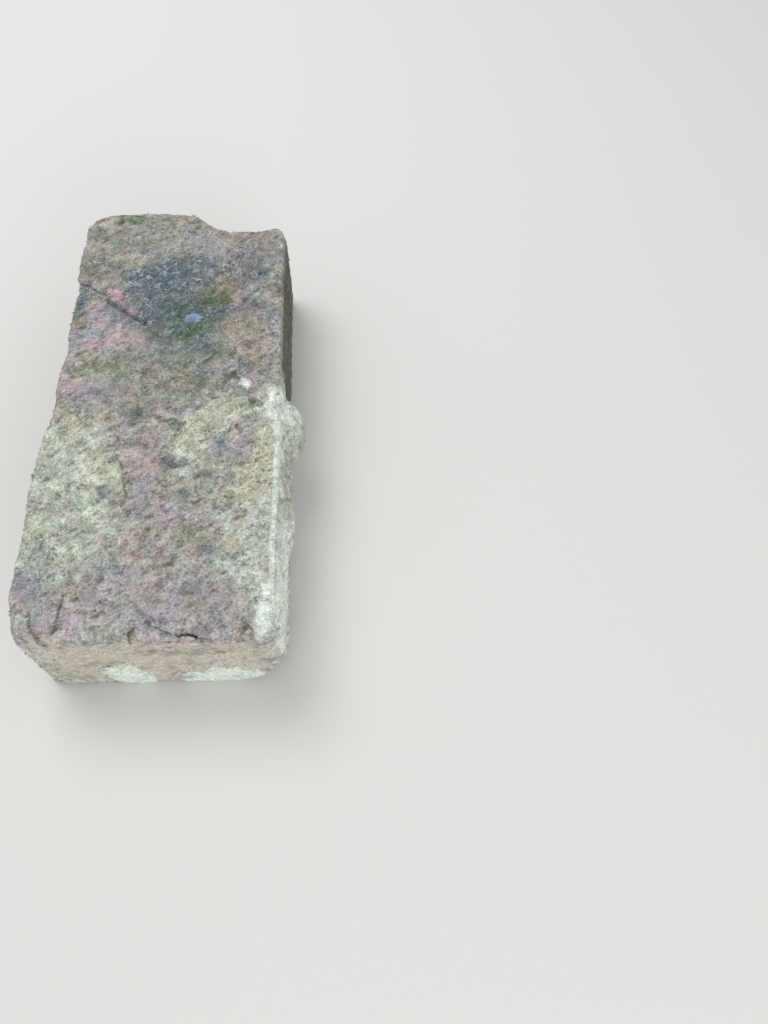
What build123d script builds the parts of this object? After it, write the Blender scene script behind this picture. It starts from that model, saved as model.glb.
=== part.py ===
from build123d import *
import math
import os

# A hand-moulded clay brick, reclaimed from a wall, lying on its lower bed face.
# It was moulded and fired as one piece, so it is one solid.
# The origin is the centre of the lower bed, with +X across the brick towards
# its right stretcher face, +Y along it towards the far end and +Z up.
# Lengths are in millimetres, and angles in degrees.

# Overall size of the brick, at its lower bed
brick_length = 212.0
brick_width = 100.0
brick_height = 50.0

# The mould's sides lean inwards from the lower bed to the upper one
side_draft = 1.2

# Rounding of the arrises round the upper and the lower bed
upper_arris_radius = 3.0
lower_arris_radius = 2.0

# Right stretcher face, which leans in slightly towards the far end
right_lean = 0.4

# Left stretcher face, which steps in gently from a full near half to a far half
# that is narrower
full_part_length = 62.0
step_length = 44.0
step_depth = 2.8

# Near header face, with a long worn corner at its left and a short one at its right
worn_corner_length = 20.0
worn_corner_depth = 5.0
worn_corner_radius = 20.0
near_left_radius = 5.0
near_right_radius = 5.0

# Far header face, hollow beside its right corner and swollen from there on
swell_rise = 6.2
swell_left_shoulder = 3.4
swell_right_shoulder = 5.0
hollow_from_right = 7.5
hollow_width = 27.0
ramp_width = 10.4
hollow_depth = 5.5
hollow_rim = 2.5
far_left_radius = 12.0
far_right_radius = 5.0
swell_radius = 9.0
hollow_radius = 7.0
hollow_rim_radius = 6.0

# Chip off the lower near right corner, by its reach along each of three edges
chip_along_width = 15.0
chip_along_length = 15.0
chip_along_height = 24.0

# Scar on the upper bed where a layer of clay has split off at the left arris.
# The lip is the edge of the layer that is left, and the scar fades out from it
# towards the near end.
lip_start_from_far = 38.0
lip_end_from_far = 64.0
lip_end_from_left = 39.0
lip_bow = 3.3
scar_fade_from_far = 104.0
scar_depth = 3.6

# Crack in the upper bed, beside the near arris
crack_length = 12.5
crack_width = 1.6
crack_depth = 3.0
crack_from_near = 3.2
crack_from_right = 31.0
crack_turn = -10.0

# Two folds of the clay at the near left corner of the upper bed
fold_radius = 0.6
long_fold_from_left = 20.0
long_fold_from_near = 6.5
long_fold_length = 11.5
long_fold_bow = 0.8
corner_fold_from_left = 11.0
corner_fold_from_near = 11.0
corner_fold_across = 7.0
corner_fold_along = 8.5
corner_fold_bow = 2.0

# Small pit left by a stone in the upper bed
pit_radius = 4.0
pit_depth = 1.0
pit_from_near = 5.5
pit_from_right = 50.5

# Bites out of the upper left arris, as place from the near end, length and depth
arris_bites = [
    (38.0, 15.0, 0.9),
    (104.0, 11.0, 0.8),
    (133.0, 15.0, 2.2),
    (170.0, 9.0, 1.6),
    (197.0, 13.0, 1.3),
]
bite_below_bed = 4.0

# Shallow hollows worn in the upper bed, as places from the left arris and the near
# end, width and depth
bed_hollows = [
    (47.0, 174.0, 36.0, 1.2),
    (81.0, 85.0, 19.0, 0.8),
    (46.0, 71.0, 27.0, 0.9),
    (62.0, 20.0, 32.0, 0.8),
]

# Lumps of old mortar, set hard on the right face below the upper arris. Each is an
# egg shape sunk in the face, as place from the near end, length, radius, reach out
# of the face, height of its middle and turn. The first stands out most.
mortar_lumps = [
    (98.0, 36.0, 13.0, 8.0, 32.0, -6.0),
    (62.0, 76.0, 11.0, 3.8, 33.0, 0.0),
]

# Places that the outline and the marks are measured from
left_x = -brick_width / 2
right_x = brick_width / 2
near_y = -brick_length / 2
far_y = brick_length / 2
cut_clearance = 10.0


def plan_outline():
    """The outline of the lower bed, run round from the near left corner."""
    rim_y = far_y - hollow_depth + hollow_rim
    worn_start = (left_x, near_y + worn_corner_length)
    worn_end = (left_x + worn_corner_depth, near_y)
    near_right = (right_x, near_y)
    far_right = (right_x - right_lean, rim_y)
    hollow_start = (far_right[0] - hollow_from_right, rim_y)
    hollow_end = (hollow_start[0] - hollow_width, rim_y)
    hollow_middle = ((hollow_start[0] + hollow_end[0]) / 2, far_y - hollow_depth)
    far_left = (left_x + step_depth, far_y + swell_left_shoulder)
    swell_start = (hollow_end[0] - ramp_width, far_y + swell_right_shoulder)
    swell_middle = ((swell_start[0] + far_left[0]) / 2, far_y + swell_rise)
    full_end = (left_x, near_y + full_part_length)
    step_end = (left_x + step_depth, full_end[1] + step_length)
    step_middle = (left_x + step_depth / 2, full_end[1] + step_length / 2)

    with BuildSketch() as outline:
        with BuildLine():
            Line(worn_start, worn_end)
            Line(worn_end, near_right)
            Line(near_right, far_right)
            Line(far_right, hollow_start)
            ThreePointArc(hollow_start, hollow_middle, hollow_end)
            Line(hollow_end, swell_start)
            ThreePointArc(swell_start, swell_middle, far_left)
            Line(far_left, step_end)
            TangentArc(step_end, step_middle, tangent=(0, -1))
            TangentArc(full_end, step_middle, tangent=(0, 1))
            Line(full_end, worn_start)
        make_face()
        rounded = [
            (worn_start, worn_corner_radius),
            (worn_end, near_left_radius),
            (near_right, near_right_radius),
            (far_right, far_right_radius),
            (hollow_start, hollow_rim_radius),
            (hollow_end, hollow_radius),
            (swell_start, swell_radius),
            (far_left, far_left_radius),
        ]
        for place, radius in rounded:
            corner = outline.vertices().sort_by_distance((place[0], place[1], 0))[0]
            fillet(corner, radius)
    return outline.sketch


def moulded_body():
    """The brick as it left the mould: a drafted block with rounded arrises."""
    block = extrude(plan_outline(), brick_height)
    sides = block.faces().filter_by(Axis.Z, reverse=True)
    body = draft(sides, Plane.XY, side_draft)
    body = fillet(body.edges().group_by(Axis.Z)[-1], upper_arris_radius)
    return fillet(body.edges().group_by(Axis.Z)[0], lower_arris_radius)


def chipped_corner(body):
    """The body without the lower near right corner, broken off along a plane."""
    on_width = Vector(right_x - chip_along_width, near_y, 0)
    on_length = Vector(right_x, near_y + chip_along_length, 0)
    on_height = Vector(right_x, near_y, chip_along_height)
    inward = (on_length - on_width).cross(on_height - on_width)
    break_plane = Plane(origin=on_width, z_dir=inward)
    middle = Vector(0, 0, brick_height / 2)
    side = Keep.TOP if break_plane.to_local_coords(middle).Z > 0 else Keep.BOTTOM
    return split(body, bisect_by=break_plane, keep=side)


def split_layer():
    """The wedge of clay that has split off the upper bed at the left arris."""
    outside = left_x - cut_clearance
    lip_start = Vector(left_x, far_y - lip_start_from_far)
    lip_end = Vector(left_x + lip_end_from_left, far_y - lip_end_from_far)
    along = (lip_end - lip_start).normalized()
    lip_middle = (lip_start + lip_end) / 2 + along.rotate(Axis.Z, 90) * lip_bow
    fade = Vector(left_x, far_y - scar_fade_from_far)
    with BuildSketch() as layer:
        with BuildLine():
            ThreePointArc(lip_start, lip_middle, lip_end)
            Line(lip_end, fade)
            Line(fade, (outside, fade.Y))
            Line((outside, fade.Y), (outside, lip_start.Y))
            Line((outside, lip_start.Y), lip_start)
        make_face()
    block = Pos(0, 0, brick_height - cut_clearance) * extrude(layer.sketch, 2 * cut_clearance)
    deepest = Vector(lip_start.X, lip_start.Y, brick_height - scar_depth)
    to_lip_end = Vector(lip_end.X, lip_end.Y, brick_height) - deepest
    to_fade = Vector(fade.X, fade.Y, brick_height) - deepest
    floor = Plane(origin=deepest, x_dir=to_lip_end, z_dir=to_fade.cross(to_lip_end))
    return split(block, bisect_by=floor, keep=Keep.TOP)


def crack():
    """A thin gap in the clay, pointed at both ends."""
    gap = Ellipse(crack_length / 2, crack_width / 2, rotation=crack_turn)
    place = Pos(right_x - crack_from_right, near_y + crack_from_near, brick_height - crack_depth)
    return place * extrude(gap, crack_depth + cut_clearance)


def fold(start, end, bow):
    """A round-bottomed furrow in the upper bed, along an arc between two places."""
    start = Vector(start[0], start[1], brick_height)
    end = Vector(end[0], end[1], brick_height)
    sideways = (end - start).normalized().rotate(Axis.Z, 90)
    path = ThreePointArc(start, (start + end) / 2 + sideways * bow, end)
    section = Plane(origin=path @ 0, z_dir=path % 0) * Circle(fold_radius)
    return sweep(section, path=path)


def folds():
    """The long fold, and the one that curls round the near left corner."""
    long_x = left_x + long_fold_from_left
    long_y = near_y + long_fold_from_near
    corner_x = left_x + corner_fold_from_left
    corner_y = near_y + corner_fold_from_near
    corner_end = (corner_x + corner_fold_across, corner_y - corner_fold_along)
    return [
        fold((long_x, long_y + long_fold_length), (long_x, long_y), long_fold_bow),
        fold((corner_x, corner_y), corner_end, -corner_fold_bow),
    ]


def pit():
    """A shallow round hollow in the upper bed."""
    middle_z = brick_height + pit_radius - pit_depth
    return Pos(right_x - pit_from_right, near_y + pit_from_near, middle_z) * Sphere(pit_radius)


def arris_bite(from_near, length, depth):
    """A ball that takes a bite of that length and depth out of the upper left arris."""
    radius = (length**2 / 4 + depth**2) / (2 * depth)
    stepped = from_near > full_part_length + step_length / 2
    middle_z = brick_height - bite_below_bed
    lean = middle_z * math.tan(math.radians(side_draft))
    face_x = left_x + lean + (step_depth if stepped else 0)
    return Pos(face_x + depth - radius, near_y + from_near, middle_z) * Sphere(radius)


def bed_hollow(from_left, from_near, width, depth):
    """A large ball that sinks a shallow round hollow of that width in the upper bed."""
    radius = (width**2 / 4 + depth**2) / (2 * depth)
    place = Pos(left_x + from_left, near_y + from_near, brick_height + radius - depth)
    return place * Rot(90, 0, 0) * Sphere(radius)


def mortar_lump(from_near, length, radius, reach, middle_height, turn):
    """A rounded lump on the right face, that thins out towards its ends."""
    oval = Ellipse(length / 2, radius)
    half = split(oval, bisect_by=Plane.XZ, keep=Keep.BOTTOM)
    egg = revolve(half, axis=Axis.X)
    place = Pos(right_x + reach - radius, near_y + from_near, middle_height)
    return place * Rot(0, 0, 90 + turn) * egg


def brick():
    """The whole brick, with what has broken off it and what has set on it."""
    body = chipped_corner(moulded_body())
    for hollow in bed_hollows:
        body = body - bed_hollow(*hollow)
    for bite in arris_bites:
        body = body - arris_bite(*bite)
    body = body - split_layer() - crack() - pit()
    for furrow in folds():
        body = body - furrow
    for lump in mortar_lumps:
        body = body + mortar_lump(*lump)
    return body


os.makedirs("parts", exist_ok=True)
export_step(brick(), "parts/brick.step")
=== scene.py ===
import math

import bpy
import numpy as np
from bpy.props import FloatProperty, FloatVectorProperty, IntProperty, PointerProperty
from bpy.types import Operator, Panel, PropertyGroup
from mathutils import Euler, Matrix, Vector


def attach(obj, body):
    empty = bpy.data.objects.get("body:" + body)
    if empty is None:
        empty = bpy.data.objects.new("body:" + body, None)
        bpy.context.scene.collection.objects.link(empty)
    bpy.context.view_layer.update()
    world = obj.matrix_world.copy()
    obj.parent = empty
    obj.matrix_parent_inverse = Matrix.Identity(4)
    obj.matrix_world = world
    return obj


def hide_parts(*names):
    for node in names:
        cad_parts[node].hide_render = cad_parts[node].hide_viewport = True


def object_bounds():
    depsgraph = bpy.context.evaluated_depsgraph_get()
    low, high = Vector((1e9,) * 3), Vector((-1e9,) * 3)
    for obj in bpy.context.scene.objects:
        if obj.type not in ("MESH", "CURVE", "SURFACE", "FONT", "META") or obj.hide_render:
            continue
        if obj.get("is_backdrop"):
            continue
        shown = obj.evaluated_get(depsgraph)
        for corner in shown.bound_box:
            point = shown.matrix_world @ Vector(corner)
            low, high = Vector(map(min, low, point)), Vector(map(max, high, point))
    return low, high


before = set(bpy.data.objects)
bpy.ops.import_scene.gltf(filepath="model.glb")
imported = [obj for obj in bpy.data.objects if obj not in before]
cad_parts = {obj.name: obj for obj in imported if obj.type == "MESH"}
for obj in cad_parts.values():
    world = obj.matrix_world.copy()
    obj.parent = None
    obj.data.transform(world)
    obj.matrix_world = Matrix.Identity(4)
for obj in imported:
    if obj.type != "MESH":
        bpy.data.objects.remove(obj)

bl_info = {
    "name": "Reclaimed Clay Brick",
    "version": (1, 0, 0),
    "blender": (4, 5, 0),
    "location": "View3D > Sidebar > Brick",
    "description": "Builds a weathered hand-moulded brick round its packed solid",
    "category": "Add Mesh",
}

# The frame is in metres, and the brick's sizes are easier to read in millimetres
MM = 0.001
CAD_LOW, CAD_HIGH = (np.array(corner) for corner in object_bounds())

# Main sizes and faces of the brick, measured from the solid's lowest corner
LENGTH = 212 * MM
WIDTH = 100 * MM
LEFT, NEAR, LOWER = CAD_LOW
RIGHT, FAR, UPPER = LEFT + WIDTH, NEAR + LENGTH, CAD_HIGH[2]
DRAFT = math.tan(math.radians(1.2))

# How far the clay's mean surface lies inside the solid, so that its grain stays in the box
SIDE_SKIN = 0.4 * MM
UPPER_SKIN = 0.75 * MM
LOWER_SKIN = 0.3 * MM

# Left face: full near the near end, and stepped in towards the far end
WORN_LENGTH, WORN_DEPTH = 20 * MM, 5 * MM
STEP_START, STEP_END, STEP_DEPTH = NEAR + 62 * MM, NEAR + 106 * MM, 2.8 * MM

# Bites out of the upper left arris: place from the near end, length and depth
ARRIS_BITES = [
    (38 * MM, 15 * MM, 0.9 * MM),
    (104 * MM, 11 * MM, 0.8 * MM),
    (133 * MM, 15 * MM, 2.2 * MM),
    (170 * MM, 9 * MM, 1.6 * MM),
    (197 * MM, 13 * MM, 1.3 * MM),
]
BITE_BELOW_BED = 4 * MM

# Shallow hollows worn in the upper bed: places from the left arris and the near end,
# width and depth
BED_HOLLOWS = [
    (47 * MM, 174 * MM, 36 * MM, 1.2 * MM),
    (81 * MM, 85 * MM, 19 * MM, 0.8 * MM),
    (46 * MM, 71 * MM, 27 * MM, 0.9 * MM),
    (62 * MM, 20 * MM, 32 * MM, 0.8 * MM),
]

# Right face and far face: a slight lean, then a hollow, a ramp and a swell
RIGHT_LEAN = 0.4 * MM
HOLLOW_MIDDLE, HOLLOW_HALF = RIGHT - 21.4 * MM, 13.5 * MM
HOLLOW_DEPTH, HOLLOW_RIM = 5.5 * MM, 2.5 * MM
RAMP_START, RAMP_END = RIGHT - 46.5 * MM, RIGHT - 33.6 * MM
SWELL_MIDDLE, SWELL_HALF = LEFT + 28.8 * MM, 26 * MM
SWELL_RISE, SWELL_LEFT_SHOULDER, SWELL_RIGHT_SHOULDER = 6.2 * MM, 3.4 * MM, 5 * MM

# Radii of the arrises and of the upright corners, and of the edges round the chip and
# the bites, and the fillet round a lump of mortar
UPPER_RADIUS, LOWER_RADIUS = 3 * MM, 2 * MM
CORNER_RADIUS, FAR_LEFT_RADIUS = 5 * MM, 12 * MM
CHIP_RADIUS, BITE_RADIUS, LUMP_FILLET = 1.5 * MM, 1 * MM, 2 * MM

# Chip off the lower near right corner, by its reach along the three edges
CHIP_REACH = np.array([15, 15, 24]) * MM

# Lumps of old mortar on the right face: place from the near end, length, radius,
# reach out of the face, height of the middle and turn
MORTAR_LUMPS = [
    (98 * MM, 36 * MM, 13 * MM, 8.0 * MM, 32 * MM, math.radians(-6)),
    (62 * MM, 76 * MM, 11 * MM, 3.8 * MM, 33 * MM, 0.0),
]

# Scar where a layer has split off the upper bed, ending at a curved lip that wanders a
# little. A groove at the foot of the lip ends some way behind it.
LIP_START = np.array([LEFT, FAR - 38 * MM])
LIP_END = np.array([LEFT + 39 * MM, FAR - 64 * MM])
LIP_BOW = 3.3 * MM
SCAR_FADE = np.array([LEFT, FAR - 104 * MM])
SCAR_DEPTH = 3.4 * MM
LIP_GROOVE, GROOVE_FULL, GROOVE_END = 0.8 * MM, 6 * MM, 12 * MM
LIP_SLOPE = 3.6 * MM
LIP_WANDER, LIP_WANDER_SIZE = 0.7 * MM, 7 * MM

# Narrow marks in the upper bed: their course, half width and depth in millimetres, and the
# darkness of the painted shade in them. No mark is dented more narrowly than the surface can show.
LEAST_DENT = 0.7
MARKS = [
    ([(13.6, -102.9), (15.5, -102.5), (17.6, -102.3), (20.0, -103.2)], 0.60, 2.0, 0.92),
    ([(19.6, -103.2), (25.2, -104.0)], 0.32, 0.6, 0.60),
    ([(3.4, -98.7), (7.0, -100.2), (11.3, -102.3)], 0.5, 0.5, 0.50),
    ([(-2.7, -90.6), (1.3, -95.2), (3.2, -97.9)], 1.3, 0.7, 0.30),
    ([(-28.4, -87.2), (-29.2, -93.3), (-29.9, -100.6)], 0.75, 0.9, 0.50),
    ([(-39.6, -93.4), (-38.4, -98.6), (-35.1, -103.2), (-31.1, -106.0)], 1.0, 0.9, 0.50),
    ([(-1.6, -99.8), (-3.4, -101.6), (-3.2, -104.2)], 0.7, 0.8, 0.55),
    ([(24.3, 8.0), (27.4, 13.0), (31.5, 18.0)], 1.5, 0.5, 0.40),
    ([(-46.5, 66.6), (-43.9, 66.0), (-39.7, 64.5), (-34.6, 60.6)], 0.50, 0.8, 0.75),
    ([(-30.6, 56.4), (-25.7, 52.0), (-20.9, 47.8), (-15.5, 44.0), (-13.0, 42.3)], 1.4, 0.3, 0.30),
    ([(19.4, -16.6), (23.8, -16.8), (27.4, -16.4), (28.4, -13.3)], 0.5, 0.3, 0.45),
    ([(-16.2, -28.6), (-13.9, -31.4), (-12.6, -38.3), (-11.7, -42.3), (-10.2, -46.4)], 0.6, 0.3, 0.42),
]

# Depths below the upper bed where the marks and crusts are still whole, and where the
# dents and the shade of a mark end
MARKS_WHOLE, DENTS_END, SHADE_END = 4 * MM, 8 * MM, 7 * MM

# Crusts that stand proud of the clay with a sharp rim: ovals on the upper bed, as the
# layers' patches below, and their height
RAISED_CRUSTS = [
    ((24, -8, 8.5, 8.5, 1.0), 0.8 * MM),
    ((-26, -37, 14.5, 12, 1.0), 0.5 * MM),
    ((36, -3, 8, 6, 1.0), 0.4 * MM),
]

# Height of the surface's relief, part by part, and the size of its features
WAVE_HEIGHT, WAVE_SIZE = 0.22 * MM, 15 * MM
GRAIN_HEIGHT, GRAIN_SIZE = 0.30 * MM, 4.2 * MM
GRIT_HEIGHT, GRIT_SIZE = 0.20 * MM, 2.1 * MM
PIT_DEPTH, PIT_SIZE = 0.5 * MM, 3.1 * MM
LARGE_CHIP_DEPTH, LARGE_CHIP_SIZE = 1.0 * MM, 13 * MM
SMALL_CHIP_DEPTH, SMALL_CHIP_SIZE = 0.5 * MM, 5 * MM
MORTAR_HEIGHT, LICHEN_HEIGHT, CRUST_SIZE = 0.45 * MM, 0.25 * MM, 2.6 * MM
ARRIS_REACH = 3 * MM

# The lattice that the surface is made from starts this far outside the brick, and
# further out where the mortar is, and moves towards a core this deep in it
START_MARGIN, MORTAR_MARGIN, CORE_DEPTH = 1 * MM, 9 * MM, 22 * MM
SLOPE_STEP = 0.15 * MM

# What has grown, set and worn on the brick, and some painted light and shade among it:
# the olive layer is painted shade, and a few pale and mortar patches are painted
# highlights or painted light, as noted at them. Each patch is an oval on one face, in
# millimetres and degrees: middle, half sizes, strength, and turn if it has one. The
# upper bed is seen from above as (x, y), the near face as (x, z) and the right face as
# (y, z). On the other faces a layer covers a share of noise. Each layer's noise goes by
# its number in this list, so a new layer comes last.
LAYERS = {
    "lichen": {"hidden": 0.2, "upper": [
        (-34, -38, 17, 25, 0.95), (-22, -37, 12, 11, 1.0), (-33, -64, 17, 18, 0.75),
        (-16, -66, 14, 9, 0.45), (-40, -19, 10, 9, 0.75), (-36, -12, 6, 6, 0.9), (11, -13, 9, 8, 0.7),
        (12, -22, 9, 7, 0.75), (24, -8, 9, 9, 1.0), (33, -3, 8, 5, 0.9), (25, 3, 6, 3, 0.6),
        (43.5, -12, 5.5, 15, 1.0), (39, -38, 9, 20, 0.8), (27, -46, 9, 12, 0.5),
        (36, -66, 11, 16, 0.75), (40, -80, 8, 9, 0.8), (12, -32, 8, 3, 0.6), (-40, 80, 9, 12, 0.22),
        (-44, -95, 3, 9, 0.4, 20), (25, 33, 6, 4, 0.35), (-31, 15, 9, 4, 0.25),
        (-26, 105, 8, 2.4, 0.35), (48, -28, 4, 36, 1.0), (48, -76, 4, 32, 1.0), (44, 0, 6, 7, 0.9),
        (-40, -54, 10, 23, 0.8), (-27, -45, 14, 14, 0.8),
    ], "near": [(-44, 25, 6, 28, 0.7), (-25, 3, 22, 5, 0.6), (47, 25, 4, 20, 0.5)], "right": [
        (-78, 34, 34, 30, 1.0), (-14, 46, 26, 7, 1.0), (-30, 45, 40, 8, 0.9), (-22, 30, 30, 10, 0.45),
    ]},
    "yellow": {"hidden": 0.24, "upper": [
        (-21, -33, 12, 10, 1.0), (-36, -14, 9, 8, 0.9), (-30, 10, 14, 9, 0.6), (24, -8, 11, 10, 1.3),
        (13, -18, 11, 12, 1.0), (42, -18, 5, 26, 1.1), (37, -10, 6, 10, 1.1), (30, -42, 9, 14, 1.0),
        (34, -3, 9, 6, 0.9), (22, 58, 8, 12, 0.6), (-40, 70, 8, 10, 0.7), (-26, 105, 12, 4, 1.0),
        (37, -48, 9, 24, 0.9),
    ], "near": [(-44, 25, 6, 28, 0.6)], "right": [(-60, 30, 60, 20, 0.5)]},
    "mortar": {"hidden": 0.2, "upper": [
        # The patches along the upper right arris, at x from 45 to 48, are old mortar and partly a painted
        # highlight on the rounded arris
        (47.2, -8, 3.6, 16, 1.05), (47.5, -46, 1.8, 34, 0.8), (46.5, -70, 2.5, 14, 0.6),
        (45.4, -92, 4.4, 14, 0.95), (44, 3, 5, 4.5, 0.65), (33, 7, 3, 1.8, 1.2), (22, -6, 8, 5, 0.35),
        (17, -1.5, 3.5, 1.6, 0.8), (41, -60, 6, 14, 0.5), (11, -34, 4, 1.4, 0.6, -10),
        (-1.0, -106, 2.4, 1.1, 0.9), (-28, -106.3, 3, 1.2, 0.6), (29, -65, 4, 3, 0.5),
        (40, -81, 5, 2, 0.7), (9.8, 75, 0.8, 0.8, 1.1), (19.5, 70, 0.5, 1.4, 0.9, -15),
        (7.5, 41.5, 0.8, 0.8, 1.1),
    ], "near": [(-12, 11, 9, 12, 1.7), (25, 7, 15, 10, 1.7), (44, 30, 5, 8, 0.4)], "right": [
        # The first two patches on the right face are old mortar and also make that face lighter as painted
        # light
        (-84, 34, 36, 28, 1.1), (-26, 47, 40, 5, 1.1), (-22, 34, 30, 12, 0.35), (0, 44, 13, 7, 1.2),
    ]},
    "algae": {"hidden": 0.3, "upper": [
        (-3, 70, 21, 12, 0.9, 15), (-3, 48, 7, 7, 1.1), (-14, 61, 10, 9, 0.7), (-1, 50, 12, 9, 1.0, 35),
        (35, 70, 8, 6, 0.65), (24, 79, 12, 4, 0.55), (-24, 47, 10, 4, 0.75, -40), (-42, 58, 6, 7, 0.8),
        (-25, 5, 6, 4, 0.3), (-11.5, -8, 3.5, 5, 0.8, -30), (-44, -78, 6, 9, 0.6),
        (-34, -2, 5, 2.6, 0.6), (4.5, -31, 4, 3, 0.85), (-20, -46, 3.8, 3.2, 0.9),
        (23.5, -67, 3.5, 4, 0.65), (13, -46.5, 2.6, 1.8, 0.8), (-33, -73, 5, 4, 0.5),
        (-4, 26, 6, 9, 0.45), (-22, -70, 14, 9, 0.35), (10, 90, 7, 5, 0.4), (-20, 87, 12, 6, 0.35),
        (-5, 35, 9, 6, 0.6), (-21, -86, 5, 4, 0.4), (-10, -103, 9, 2.4, 0.5), (8, 31, 14, 8, 0.75),
        (12, 46, 15, 10, 0.95), (-22, -2, 10, 6, 0.3), (-8, 46, 11, 10, 0.95), (6, 37, 12, 8, 0.95, 20),
        (-14, 62, 8, 5, 0.8, -38), (32, 82, 16, 5, 0.45), (-42, 95, 8, 8, 0.2), (-36, -48, 12, 18, 0.3),
        (22.5, -19, 2, 4, 0.8), (-36, -82, 14, 8, 0.35),
    ], "near": [(8, 36, 24, 3, 0.35)], "right": [(62, 8, 60, 8, 0.4)]},
    "moss": {"hidden": 0.18, "upper": [
        (13, 41, 8, 5, 0.95, 15), (15, 54, 9, 5, 0.9), (7, 34, 7, 4, 0.8), (5, 49, 12, 7, 0.68),
        (12, 58, 8, 4, 0.7), (-2, 40, 8, 5, 0.55), (10, 18, 18, 16, 0.42), (-22, 16, 16, 9, 0.45),
        (-10, 2, 24, 12, 0.35), (30, -2, 12, 6, 0.5), (-44, 40, 6, 14, 0.4), (12, -40, 20, 30, 0.25),
        (-43, 48, 3, 6, 0.75), (-26, 105.5, 7, 2.6, 1.2), (-41, 75, 7, 9, 0.6), (-32, 76, 8, 7, 0.45),
        (-30, 15, 10, 6, 0.55), (-11, -8, 3.2, 4.5, 0.7, -30), (-24, 24, 4, 2, 0.45),
        (6, -12, 4, 3, 1.2), (35, -3, 4, 2.6, 1.1), (14, 19, 8, 5, 0.45), (-14, 27, 6, 3, 0.5),
        (24, 22, 4, 3, 0.42), (-1, -62, 3, 7, 0.4), (32, -72, 2.4, 4, 0.5), (22, -1, 3, 2, 0.45),
        (-26, 93, 22, 12, 0.35), (-36, -42, 14, 24, 0.3), (-6, 30, 20, 8, 0.35),
    ], "near": [(-46, 8, 5, 10, 0.5)]},
    "fresh": {"hidden": 0.24, "upper": [
        (-26.5, 57.6, 6.5, 2.4, 1.3, -38), (-18.5, 50.8, 5, 1.6, 1.0, -45), (-43, 36, 4, 5, 0.7),
        (-24, 36, 3.6, 8, 0.7), (-14, 32, 8, 4, 0.7, -10), (-31, 28, 6, 5, 0.65),
        (-45, 14, 2.6, 7, 0.55), (-35, 5, 8, 4, 0.5), (-33, 44, 6, 6, 0.5), (-21, -92, 5.5, 9, 0.36),
        (-25, -101, 4, 3, 0.45), (-45, -84, 4, 4, 0.45), (17, -104, 9, 1.6, 0.6),
        (25, -105, 6, 1.2, 0.5), (14, 33, 10, 5, 0.35, 10), (20, 95, 9, 5, 0.35), (-23, -17, 5, 6, 0.4),
        (-4, -28, 8, 16, 0.35), (32, -21, 6, 10, 0.42), (40, 92, 6, 5, 0.3),
    ], "near": [(-20, 40, 20, 5, 0.3), (10, 25, 40, 10, 0.25)]},
    "mauve": {"hidden": 0.3, "upper": [
        (14, -91, 32, 15, 0.62), (-6, -36, 7, 16, 0.75), (40, 56, 6, 4, 0.7, 20),
        (-36, -97, 8, 7, 0.95), (17, 91, 8, 6, 0.7), (-27, 7, 10, 5, 1.0), (-42, -97, 4, 8, 0.9, 20),
        (24, 14, 3, 7, 0.7, -32), (-35, 32, 7, 5, 0.7), (-34, 47, 6, 7, 0.7), (28, -22, 8, 10, 0.5),
        (4, -56, 5, 4, 0.6), (-38, -84, 10, 7, 0.8), (8, -104, 5, 2, 0.9), (36, 78, 9, 5, 0.6),
        (-14, 60, 8, 9, 0.45), (-20, 34, 20, 14, 0.52), (17, 83, 9, 5, 0.6), (-3, 83, 7, 6, 0.5),
        (-34, -74, 10, 9, 0.58),
    ]},
    "ochre": {"hidden": 0.3, "upper": [
        (21, 62, 5, 9, 0.8, -10), (31, 38, 10, 14, 0.8), (-8, 105, 13, 5, 0.55), (30, 95, 13, 5, 0.55),
        (-1.8, -102, 2.2, 3, 1.0, -20), (3, -23, 5, 3, 0.55, 20), (29, 71, 8, 6, 0.5),
        (38, 24, 8, 12, 0.45), (10, -66, 14, 9, 0.4), (22, 52, 7, 7, 0.65), (17, 24, 8, 6, 0.5),
        (-3, -17, 7, 6, 0.4), (-22, -11, 7, 7, 0.45), (5, 3, 16, 10, 0.35),
    ], "near": [(15, 38, 30, 7, 0.45), (-30, 20, 14, 20, 0.3)], "right": [(60, 30, 56, 26, 0.4)]},
    "pale": {"hidden": 0.28, "upper": [
        # The first patch, a pale band along the near upper arris, is a painted highlight where the rounded
        # arris catches the light
        (0, -108, 50, 4.6, 1.1), (4, 88, 16, 7, 0.4), (-10, 100, 22, 6, 0.35), (32, 33, 12, 14, 0.25),
        (-45, -50, 4, 22, 0.5), (42, -50, 8, 50, 0.5), (-13, 33, 7, 6, 0.6), (-30, 12, 11, 5, 0.62),
        (-13, -98, 7, 6, 0.6), (-13, -12, 5, 9, 0.42), (-38, -47, 10, 6, 0.6), (-19, -90, 9, 9, 0.42),
        (17, -78, 8, 13, 0.38), (4, 25, 10, 6, 0.4), (12, -38, 10, 5, 0.62),
    ], "near": [(0, 25, 52, 34, 1.1)], "right": [(-60, 36, 80, 26, 0.8)]},
    # Painted shade in dark olive: along the far arris and the far part of the upper right arris, on parts of
    # the right face, and thinly on the faces with no patches
    "olive_shade": {"hidden": 0.25, "upper": [(49.6, 58, 1.8, 52, 0.2), (0, 112, 60, 3.5, 0.45)], "right": [
        (50, 25, 50, 40, 1.2), (-22, 26, 28, 16, 0.5),
    ]},
    "bare": {"hidden": 0.0, "upper": [
        (32.5, -21.5, 6, 11, 1.0), (29, -14.5, 4, 4, 0.6), (-4, -20, 6, 14, 0.7), (2, -48, 8, 14, 0.5),
        (10, -62, 10, 8, 0.4),
    ]},
    "grime": {"hidden": 0.15, "upper": [
        (0, 66, 54, 44, 0.45), (5, 14, 46, 16, 0.45), (24, 45, 20, 24, 0.45), (39, 56, 8, 6, 0.9, 20),
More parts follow.
